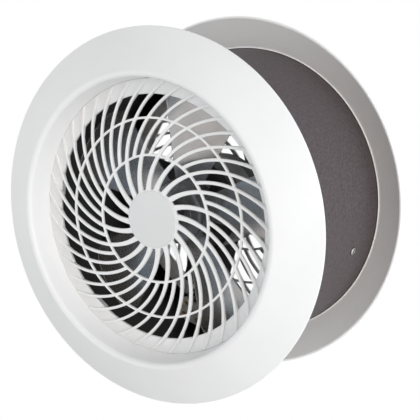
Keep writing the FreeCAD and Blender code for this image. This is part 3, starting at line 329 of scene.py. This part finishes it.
# --------------------------------------------------------------------- flanges
CONE = (25.8 - 1.8) / (170.0 - 128.0)


def under(r):
    return 21.43 - (r - 131.2) * CONE


def flange(name, place, node):
    b = Build()
    b.lathe(rounded([
        (170.0, 0.0, 0.6, 3), (170.0, 1.8, 1.1, 5), (128.0, 25.8, 4.2, 14), (124.2, -4.0, 0.5, 3),
        (115.0, -4.0, 0.5, 3), (115.0, -6.4, 0.5, 3), (126.7, -6.4, 1.2, 4), (131.2, 21.43, 1.2, 4),
        (134.9, under(134.9), 0.6, 3), (134.9, -10.0, 0.6, 3), (137.4, -10.0, 0.6, 3),
        (137.4, under(137.4), 0.3, 2), (138.75, under(138.75), 0.2, 2), (138.75, under(139.25) - 1.3, 0.15, 3),
        (139.25, under(139.25) - 1.3, 0.15, 3), (139.25, under(139.25), 0.5, 6),
        (167.9, under(167.9), 0.1, 2), (167.9, 0.0, 0.15, 2),
    ]), 240)
    return piece(b.make(name, place), "housing", "flange_white", M["flange_white"], node)


flange("front_cone", front, "front_flange")
flange("rear_cone", rear, "rear_flange")

# ---------------------------------------------------------------------- guards
RING1, HALF1, RING2, HALF2 = 57.3, 1.05, 90.0, 1.0
HUB, HUB_IN, ARM_END = 26.6, 26.05, 124.0
TWIST = math.radians(-0.52)
ARM_AT = (24.0, 30.0, 35.0, 45.0, 57.3, 65.0, 75.0, 83.0, 97.0, 124.0)
ARM_HALF = (2.7, 2.35, 2.1, 1.9, 1.6, 1.5, 1.45, 1.4, 1.3, 1.3)


def smooth(t):
    t = max(0.0, min(1.0, t))
    return t * t * (3.0 - 2.0 * t)


def dome(r):
    return 7.6 - (r * r - 26.5 * 26.5) / 1886.0


def back_of(r):
    return max(dome(r) - 2.4 - 1.5 * smooth((r - 104.0) / 6.0), -3.2)


def arm_angle(arm, r):
    return math.radians(10.5 + 9.0 * arm) + TWIST * (r - RING1)


def arm_half_angle(r):
    return float(np.interp(r, ARM_AT, ARM_HALF)) * math.sqrt(1.0 + (r * TWIST) ** 2) / r


def pt(r, ang):
    return np.array((r * math.cos(ang), r * math.sin(ang)))


def fractions(step, plain):
    """Stations along one side of a cell: two inside each corner zone, the rest even."""
    mid = [2.0 * step + (1.0 - 4.0 * step) * k / plain for k in range(plain + 1)]
    return [0.0, step] + mid + [1.0 - step, 1.0]


F9 = fractions(0.085, 5)                     # ring stations across 9 degrees
F18 = [f / 2.0 for f in F9] + [0.5 + f / 2.0 for f in F9[1:]]
G = fractions(0.045, 12)                     # arm stations


def side_curve(fn, a, b, n=40):
    return [fn(a + (b - a) * k / n) for k in range(n + 1)]


def along(curve, length):
    """Point at a length along a polyline."""
    for p, q in zip(curve, curve[1:]):
        d = float(np.linalg.norm(q - p))
        if length <= d:
            return p + (q - p) * (length / d)
        length -= d
    return curve[-1]


def long_of(curve):
    return sum(float(np.linalg.norm(q - p)) for p, q in zip(curve, curve[1:]))


def section(b, centre, rc, edge, lip, foot):
    """One station: from the middle of the bar over its rounded edge, down, and back underneath."""
    d = edge - centre
    width = float(np.linalg.norm(d))
    d = d / width
    re = float(np.linalg.norm(edge))
    lip = min(lip, width * 0.92)
    foot = min(foot, width * 0.6)
    out = [b.add(centre[0], centre[1], dome(rc))]
    te, be = dome(re), back_of(re)
    for k in range(5):
        a = math.pi / 2.0 * k / 4.0
        p = edge - d * (lip * (1.0 - math.sin(a)))
        out.append(b.add(p[0], p[1], te - lip * (1.0 - math.cos(a))))
    for k in range(3):
        a = math.pi / 2.0 * k / 2.0
        p = edge - d * (foot * (1.0 - math.cos(a)))
        out.append(b.add(p[0], p[1], be + foot * (1.0 - math.sin(a))))
    out.append(b.add(centre[0], centre[1], back_of(rc)))
    return out


def stitch(b, rows, closed):
    n = len(rows)
    for k in range(n if closed else n - 1):
        a, c = rows[k], rows[(k + 1) % n]
        for i in range(len(a) - 1):
            b.f.append((a[i], a[i + 1], c[i + 1], c[i]))
    if not closed:
        b.f.append(tuple(rows[0]))
        b.f.append(tuple(reversed(rows[-1])))


def cell(b, arm_a, arm_b, r_in, edge_in, f_in, r_out, edge_out, f_out, cut):
    """One window: its four sides (inner ring, second arm, outer ring, first arm) with rounded corners.
    Without an outer ring the window is open there and the two arms run on to their ends."""
    lo_a = lambda r: arm_angle(arm_a, r) + arm_half_angle(r)
    hi_b = lambda r: arm_angle(arm_b, r) - arm_half_angle(r)
    e_out = edge_out if edge_out else r_out
    sides = []
    # window sides as fine polylines, anticlockwise from the inner ring
    a0, a1 = lo_a(edge_in), hi_b(edge_in)
    sides.append(side_curve(lambda t: pt(edge_in, a0 + (a1 - a0) * t), 0.0, 1.0))
    sides.append(side_curve(lambda r: pt(r, hi_b(r)), edge_in, e_out))
    o0, o1 = hi_b(e_out), lo_a(e_out)
    sides.append(side_curve(lambda t: pt(e_out, o0 + (o1 - o0) * t), 0.0, 1.0))
    sides.append(side_curve(lambda r: pt(r, lo_a(r)), e_out, edge_in))
    # the same sides on the bars' middle lines
    c0, c1 = arm_angle(arm_a, r_in), arm_angle(arm_b, r_in)
    q0, q1 = arm_angle(arm_b, r_out), arm_angle(arm_a, r_out)
    mids = [
        (f_in, lambda t: (r_in, c0 + (c1 - c0) * t)),
        (G, lambda t: (r_in + (r_out - r_in) * t, arm_angle(arm_b, r_in + (r_out - r_in) * t))),
        (f_out, lambda t: (r_out, q0 + (q1 - q0) * t)),
        (G, lambda t: (r_out + (r_in - r_out) * t, arm_angle(arm_a, r_out + (r_in - r_out) * t))),
    ]
    open_out = edge_out is None
    order = [3, 0, 1] if open_out else [0, 1, 2, 3]
    rows = []
    for n, k in enumerate(order):
        fr, mid = mids[k]
        side = sides[k]
        total = long_of(side)
        before, after = sides[k - 1], sides[(k + 1) % 4]
        first_open = open_out and n == 0
        last_open = open_out and n == len(order) - 1
        lo = 0.0 if first_open else cut
        hi = total if last_open else total - cut
        corner_b = side[-1]
        m = len(fr)
        for i, f in enumerate(fr):
            if i < 2 and not first_open:
                if i == 0:
                    # corner itself: the middle of the rounding
                    p0 = along(before, long_of(before) - cut)
                    p2 = along(side, cut)
                    t = 0.5
                else:
                    p0 = along(before, long_of(before) - cut)
                    p2 = along(side, cut)
                    t = 0.75
                p1 = side[0]
                e = p0 * (1 - t) ** 2 + p1 * (2 * t * (1 - t)) + p2 * t * t
            elif i >= m - 2 and not last_open:
                if i == m - 1:
                    continue                   # the next side starts with this corner
                p0 = along(side, total - cut)
                p2 = along(after, cut)
                t = 0.25
                e = p0 * (1 - t) ** 2 + corner_b * (2 * t * (1 - t)) + p2 * t * t
            else:
                i0 = 0 if first_open else 2
                i1 = m - 1 if last_open else m - 3
                fa, fb = fr[i0], fr[i1]
                e = along(side, lo + (hi - lo) * (f - fa) / (fb - fa))
            rc, ac = mid(f)
            rows.append(section(b, pt(rc, ac), rc, e, 0.55, 0.3))
    stitch(b, rows, not open_out)
    return rows


def guard(name, place, node):
    b = Build()
    hub_ring = []
    for k in range(20):
        rows = cell(b, 2 * k, 2 * k + 2, HUB_IN, HUB, F9, RING1, RING1 - HALF1, F18, 0.8)
        hub_ring.append(rows[:len(F9) - 1])
    for k in range(40):
        cell(b, k, k + 1, RING1, RING1 + HALF1, F9, RING2, RING2 - HALF2, F9, 0.8)
    for k in range(40):
        cell(b, k, k + 1, RING2, RING2 + HALF2, F9, ARM_END, None, F9, 0.8)
    # hub disc, front and back, joined to the stations round it: a low round boss with a softened edge
    ring = [row for rows in hub_ring for row in rows]
    n = len(ring)
    boss = [(25.75, 7.62), (25.55, 7.75), (25.5, 8.3), (25.4, 8.55), (25.18, 8.75), (24.85, 8.86), (24.3, 8.9),
            (17.5, 9.0), (11.0, 9.06), (5.0, 9.09)]
    for which, steps, tip in ((0, boss, 9.1), (-1, [(17.5, 4.2), (11.0, 4.2), (5.0, 4.2)], 4.2)):
        last = [row[which] for row in ring]
        for r, height in steps:
            cur = []
            for i in last:
                x, z, _ = b.v[i]
                cur.append(b.polar(r, math.atan2(z, x), height))
            for i in range(n):
                b.f.append((last[i], last[(i + 1) % n], cur[(i + 1) % n], cur[i]))
            last = cur
        mid = b.add(0.0, 0.0, tip)
        for i in range(n):
            b.f.append((last[i], last[(i + 1) % n], mid))
    # flat ring and its snap hooks
    b.lathe(rounded([(110.5, -1.2, 0.6, 4), (124.42, -1.2, 0.3, 3), (124.1, -3.8, 0.4, 2), (110.5, -3.8, 0.4, 2)]), 240)
    for k in range(6):
        b.lathe(rounded([(112.3, -3.2, 0.0, 0), (114.6, -3.2, 0.0, 0), (114.6, -6.6, 0.2, 2), (116.0, -6.6, 0.2, 2),
                         (114.6, -9.2, 0.3, 2), (112.3, -9.2, 0.3, 2)]), 6,
                math.radians(-9.5 + 60.0 * k - 3.0), math.radians(6.0))
    return piece(b.make(name, place, crease=50.0), "housing", "guard_white", M["guard_white"], node)


guard("front_guard", front, "front_grille")
guard("rear_guard", rear, "rear_grille")


# -------------------------------------------------------------------- impeller
def through(x, xs, ys):
    """Smooth value through three stations."""
    (a, b, c), (p, q, r) = xs, ys
    return (p * (x - b) * (x - c) / ((a - b) * (a - c)) + q * (x - a) * (x - c) / ((b - a) * (b - c))
            + r * (x - a) * (x - b) / ((c - a) * (c - b)))


STA = (16.0, 60.0, 126.0)
WIDE, RISE = (22.0, 30.0, 46.0), (9.0, 8.0, 9.0)
BOW = tuple((w * w + h * h) / (2.0 * c) for w, h, c in zip(WIDE, RISE, (95.0, 96.0, 200.0)))


def sheet(x, y):
    t = y / through(x, STA, WIDE)
    return 68.0 + through(x, STA, RISE) * t + through(x, STA, BOW) * (1.0 - t * t)


ROOT_R, TIP_R, CORNER = 27.3, 121.0, 14.0
ROOT_A, TIP_A = math.radians(25.0), math.radians(19.6)


def blade_grid():
    """Planform points: straight sides, round tip, rounded corners."""
    ra = np.array((27.9 * math.cos(ROOT_A), 27.9 * math.sin(ROOT_A)))
    ta = np.array((TIP_R * math.cos(TIP_A), TIP_R * math.sin(TIP_A)))
    d = (ta - ra) / np.linalg.norm(ta - ra)
    nrm = np.array((d[1], -d[0]))                      # into the blade
    # centre of the corner rounding: 14 mm from the side line and 14 mm inside the tip circle
    base = ra + nrm * CORNER
    bb = float(base @ d)
    cc = float(base @ base) - (TIP_R - CORNER) ** 2
    t = -bb + math.sqrt(bb * bb - cc)
    cen = base + d * t
    side_end = cen - nrm * CORNER                       # where the side turns into the corner
    tip_start = cen / np.linalg.norm(cen) * TIP_R       # where the corner turns into the tip
    outline = []
    a0 = math.atan2(*(side_end - cen)[::-1])
    a1 = math.atan2(*(tip_start - cen)[::-1])
    for k in range(9):
        a = a0 + (a1 - a0) * k / 8.0
        outline.append(cen + CORNER * np.array((math.cos(a), math.sin(a))))
    end_a = math.atan2(tip_start[1], tip_start[0])
    for k in range(1, 11):
        a = end_a * (1.0 - k / 10.0)
        outline.append(np.array((TIP_R * math.cos(a), TIP_R * math.sin(a))))
    tips = [(p[0], p[1]) for p in outline] + [(p[0], -p[1]) for p in outline[-2::-1]]
    n = len(tips)
    roots = []
    lens = [0.0]
    for p, q in zip(tips, tips[1:]):
        lens.append(lens[-1] + math.hypot(q[0] - p[0], q[1] - p[1]))
    for i in range(n):
        v = 1.0 - 2.0 * lens[i] / lens[-1]
        a = ROOT_A * v
        roots.append((ROOT_R * math.cos(a), ROOT_R * math.sin(a)))
    return roots, tips


def impeller():
    b = Build()
    z0, z1 = 62.0, 88.5
    hub = rounded([
        (4.05, z0 + 1.0, 0.3, 2), (8.5, z0 + 1.0, 0.4, 2), (8.5, z1 - 2.6, 0.5, 2), (26.6, z1 - 4.6, 0.8, 3),
        (26.6, z0, 0.4, 2), (29.0, z0, 0.5, 3), (29.0, z1, 5.0, 10), (20.0, z1, 0.5, 3), (19.4, z1 - 0.8, 0.4, 2),
        (18.0, z1 - 0.8, 0.4, 2), (17.4, z1, 0.5, 3), (4.05, z1, 0.3, 2),
    ])
    b.lathe(hub, 144)
    for k in range(5):
        a = math.radians(76.8 + 72.0 * k)
        c, s = math.cos(a), math.sin(a)
        box = [b.add(x * c - y * s, x * s + y * c, z) for z in (z0 + 8.0, z1 - 2.2)
               for x, y in ((8.0, -0.9), (27.5, -0.9), (27.5, 0.9), (8.0, 0.9))]
        for q in ((0, 1, 2, 3), (7, 6, 5, 4), (0, 4, 5, 1), (1, 5, 6, 2), (2, 6, 7, 3), (3, 7, 4, 0)):
            b.f.append(tuple(box[i] for i in q))
    roots, tips = blade_grid()
    n = len(tips)
    us = [0.0, 0.03, 0.07, 0.12] + [0.12 + 0.78 * k / 14.0 for k in range(1, 15)] + [0.93, 0.955, 0.975, 0.9885, 0.996, 1.0]
    edge_u = {1.0: 0.0, 0.996: 0.55, 0.9885: 0.9}
    for k in range(5):
        a = math.radians(76.8 + 72.0 * k)
        c, s = math.cos(a), math.sin(a)
        # extra rows next to both side edges carry their rounding
        vs = [(0.0, 0.0), (0.3, 0.6), (0.75, 0.93)] + [(float(i), 1.0) for i in range(1, n - 1)] \
            + [(n - 1.75, 0.93), (n - 1.3, 0.6), (float(n - 1), 0.0)]

        def plan(u, v):
            i = min(int(v), n - 2)
            f = v - i
            r0, r1, t0, t1 = roots[i], roots[i + 1], tips[i], tips[i + 1]
            rx, ry = r0[0] + (r1[0] - r0[0]) * f, r0[1] + (r1[1] - r0[1]) * f
            tx, ty = t0[0] + (t1[0] - t0[0]) * f, t0[1] + (t1[1] - t0[1]) * f
            return rx + (tx - rx) * u, ry + (ty - ry) * u

        top, low = [], []
        for u in us:
            rt, rl = [], []
            for v, tv in vs:
                x, y = plan(u, v)
                z = sheet(x, y)
                dx = (sheet(x + 0.1, y) - sheet(x - 0.1, y)) / 0.2
                dy = (sheet(x, y + 0.1) - sheet(x, y - 0.1)) / 0.2
                ln = math.sqrt(1.0 + dx * dx + dy * dy)
                half = 1.0 * min(tv, edge_u.get(u, 1.0))
                ox, oy, oz = -dx / ln * half, -dy / ln * half, half / ln
                for rows, sg in ((rt, 1.0), (rl, -1.0)):
                    px, py = x + ox * sg, y + oy * sg
                    rows.append(b.add(px * c - py * s, px * s + py * c, z + oz * sg))
            top.append(rt)
            low.append(rl)
        m = len(vs)
        for i in range(len(us) - 1):
            for j in range(m - 1):
                b.f.append((top[i][j], top[i][j + 1], top[i + 1][j + 1], top[i + 1][j]))
                b.f.append((low[i][j], low[i + 1][j], low[i + 1][j + 1], low[i][j + 1]))
        for j in range(m - 1):
            b.f.append((top[0][j], low[0][j], low[0][j + 1], top[0][j + 1]))
    return piece(b.make("fan_wheel", inner, crease=60.0), "rotor", "fan_smoke", M["fan_smoke"], "impeller")


impeller()

# ------------------------------------------------------------ stage and camera
def paper(name, ob):
    """Plain white stage, seen by the camera but casting no light or shade of its own on the object."""
    ob.name = name
    m = bpy.data.materials.new(name)
    m.use_nodes = True
    b = m.node_tree.nodes["Principled BSDF"]
    b.inputs["Base Color"].default_value = (0.0, 0.0, 0.0, 1.0)
    b.inputs["Roughness"].default_value = 0.9
    b.inputs["Specular IOR Level"].default_value = 0.0
    b.inputs["Emission Color"].default_value = (1.0, 1.0, 1.0, 1.0)
    b.inputs["Emission Strength"].default_value = 1.0
    ob.data.materials.append(m)
    ob.visible_diffuse = False
    ob.visible_glossy = False
    ob.visible_shadow = False


bpy.ops.mesh.primitive_plane_add(size=60.0, location=(0.0, 0.0, -0.1704))
paper("floor_paper", bpy.context.object)
bpy.ops.mesh.primitive_uv_sphere_add(segments=48, ring_count=24, radius=40.0)
paper("back_paper", bpy.context.object)

# soft studio light: an even low level all round, a little more from behind, and broad soft patches
# of light as (direction, colour) to the right, the front right, the front left and the left
PATCHES = (
    ((1.0, -1.0, 1.0), (1.00, 0.95, 0.92)),
    ((1.0, -1.0, 0.0), (1.80, 1.68, 1.58)),
    ((1.0, 0.0, 1.0), (0.89, 1.01, 1.13)),
    ((1.0, 0.0, 0.0), (1.49, 1.65, 1.82)),
    ((1.0, 0.0, -1.0), (1.36, 1.40, 1.44)),
    ((-1.0, -1.0, 0.0), (1.14, 1.24, 1.31)),
    ((-1.0, -1.0, -1.0), (0.48, 0.49, 0.50)),
    ((-1.0, 0.0, 0.0), (1.14, 1.12, 1.09)),
)
world = bpy.data.worlds.new("studio")
SCENE.world = world
world.use_nodes = True
wt = world.node_tree
way = wt.nodes.new("ShaderNodeTexCoord").outputs["Generated"]


def math_node(op, a, b):
    node = wt.nodes.new("ShaderNodeMath")
    node.operation = op
    wt.links.new(a, node.inputs[0])
    node.inputs[1].default_value = b
    return node.outputs[0]


def patch(total, towards, colour, power):
    """Adds one soft patch of light round a direction to the light so far."""
    dot = wt.nodes.new("ShaderNodeVectorMath")
    dot.operation = "DOT_PRODUCT"
    wt.links.new(way, dot.inputs[0])
    dot.inputs[1].default_value = Vector(towards).normalized()
    level = math_node("POWER", math_node("MAXIMUM", dot.outputs["Value"], 0.0), power)
    node = wt.nodes.new("ShaderNodeVectorMath")
    node.operation = "MULTIPLY_ADD"
    wt.links.new(level, node.inputs[0])
    node.inputs[1].default_value = colour
    if total is None:
        node.inputs[2].default_value = (0.17, 0.17, 0.17)
    else:
        wt.links.new(total, node.inputs[2])
    return node.outputs["Vector"]


light = patch(None, (0.0, 1.0, 0.0), (0.45, 0.45, 0.45), 1.0)
for towards, colour in PATCHES:
    light = patch(light, towards, colour, 8.0)
wt.links.new(light, wt.nodes["Background"].inputs["Color"])
wt.nodes["Background"].inputs["Strength"].default_value = 1.0

cam_data = bpy.data.cameras.new("camera")
cam_data.lens = 119.39
cam_data.sensor_width = 36.0
cam_data.clip_end = 200.0
cam = bpy.data.objects.new("camera", cam_data)
SCENE.collection.objects.link(cam)
yaw, pitch, roll = math.radians(33.61), math.radians(10.40), math.radians(-1.99)
look = Vector((-math.sin(yaw) * math.cos(pitch), math.cos(yaw) * math.cos(pitch), -math.sin(pitch)))
right = Vector((math.cos(yaw), math.sin(yaw), 0.0))
up = right.cross(look)
right, up = right * math.cos(roll) + up * math.sin(roll), up * math.cos(roll) - right * math.sin(roll)
cam.location = (0.7124, -1.0583, 0.2288)
cam.rotation_euler = Matrix((right, up, -look)).transposed().to_euler()
SCENE.camera = cam
SCENE.view_settings.view_transform = "Standard"
SCENE.view_settings.look = "None"
